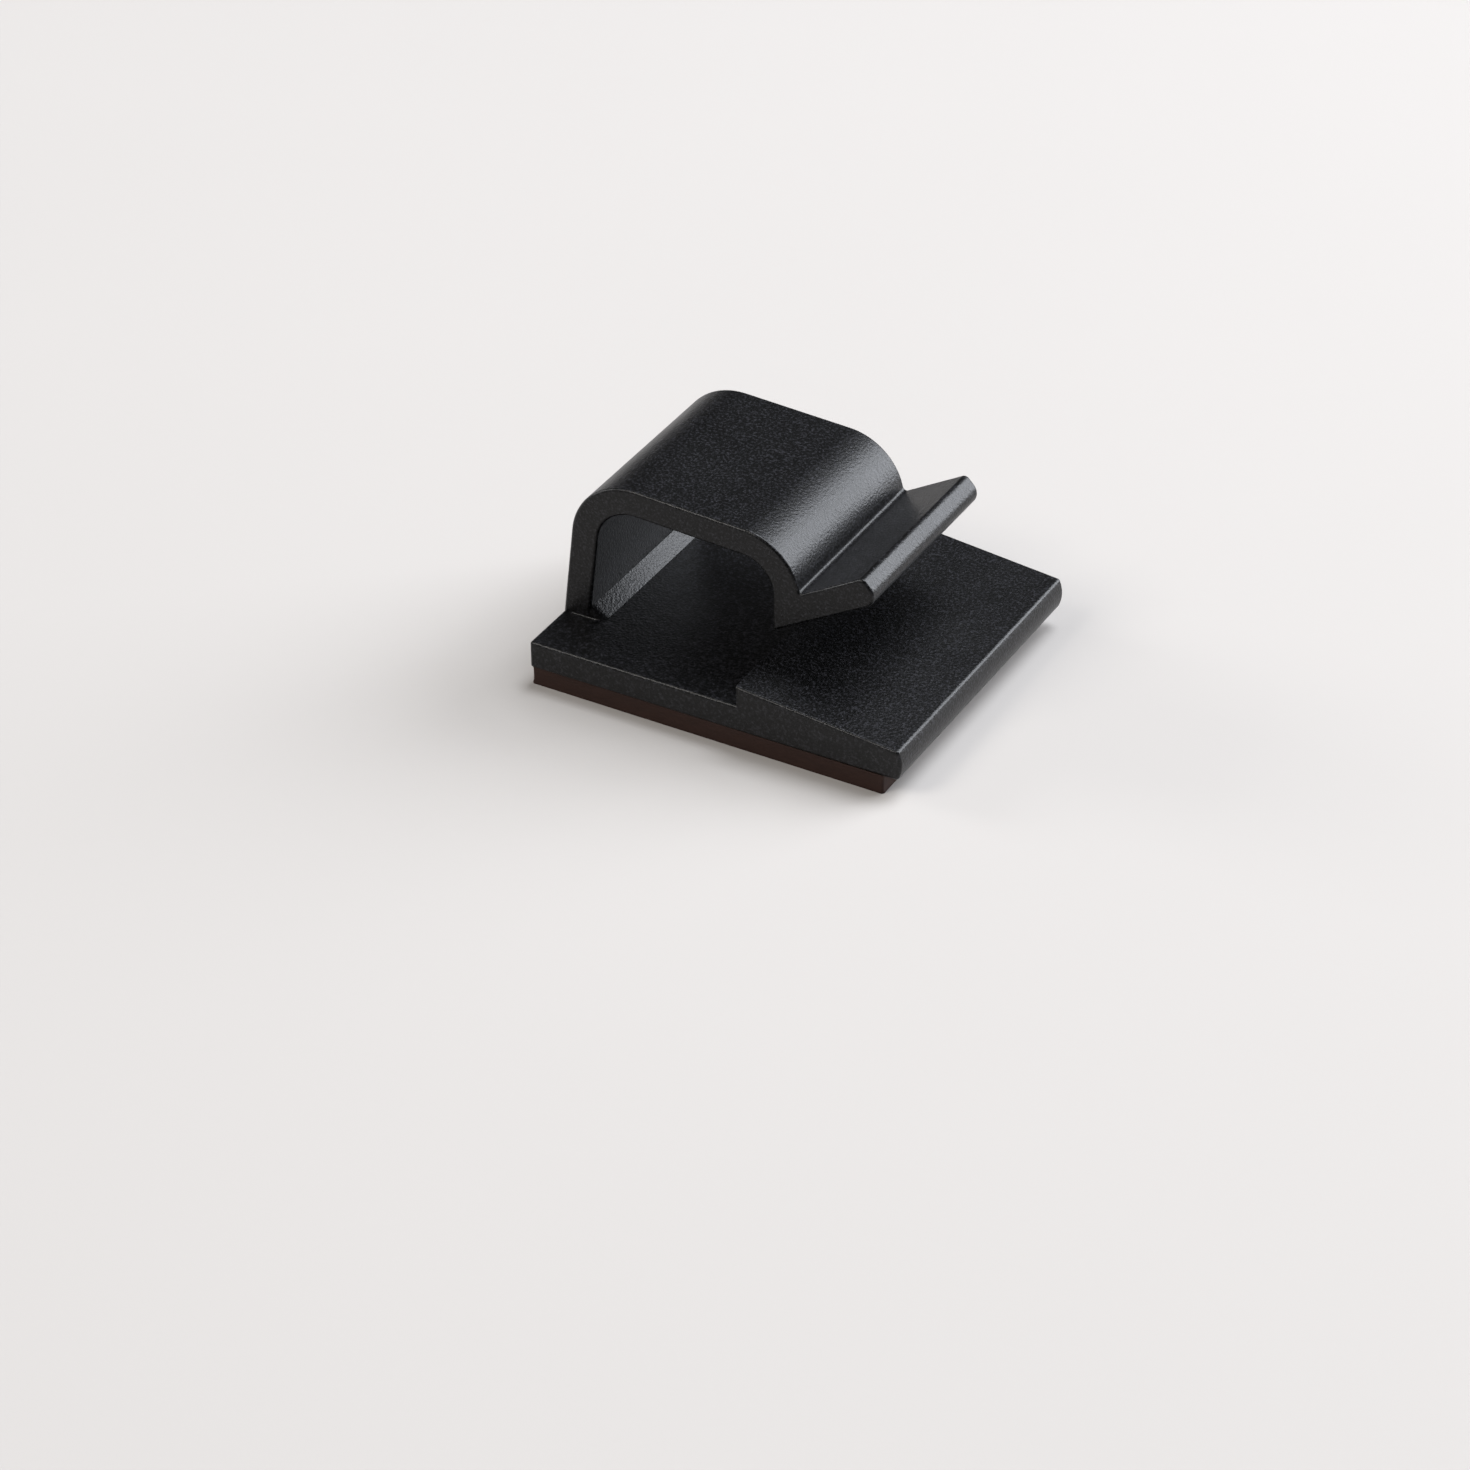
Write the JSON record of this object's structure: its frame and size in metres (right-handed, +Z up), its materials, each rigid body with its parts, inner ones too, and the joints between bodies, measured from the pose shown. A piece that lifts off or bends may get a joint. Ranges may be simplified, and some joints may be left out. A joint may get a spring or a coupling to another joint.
{
  "type": "adhesive cable clip",
  "caption": "Small self-adhesive cable clip: a sprung plastic hook with a lead-in lip on a flat base plate, backed by a foam pad.",
  "frame": {"origin": "below the centre of the base plate, on the surface that the clip is stuck to", "axes": "+Z up, away from that surface; +Y along the cable; +X across the clip, from the wall of the hook to its open side with the lip"},
  "size_m": [0.0176, 0.015, 0.009],
  "materials": {
    "clip_body": "black moulded nylon with a fine spark-eroded texture and a satin sheen",
    "adhesive_pad": "black closed-cell foam tape with a smooth cut edge"
  },
  "bodies": {
    "root": {"clip_body": "clip_body", "adhesive_pad": "adhesive_pad"}
  },
  "joints": []
}
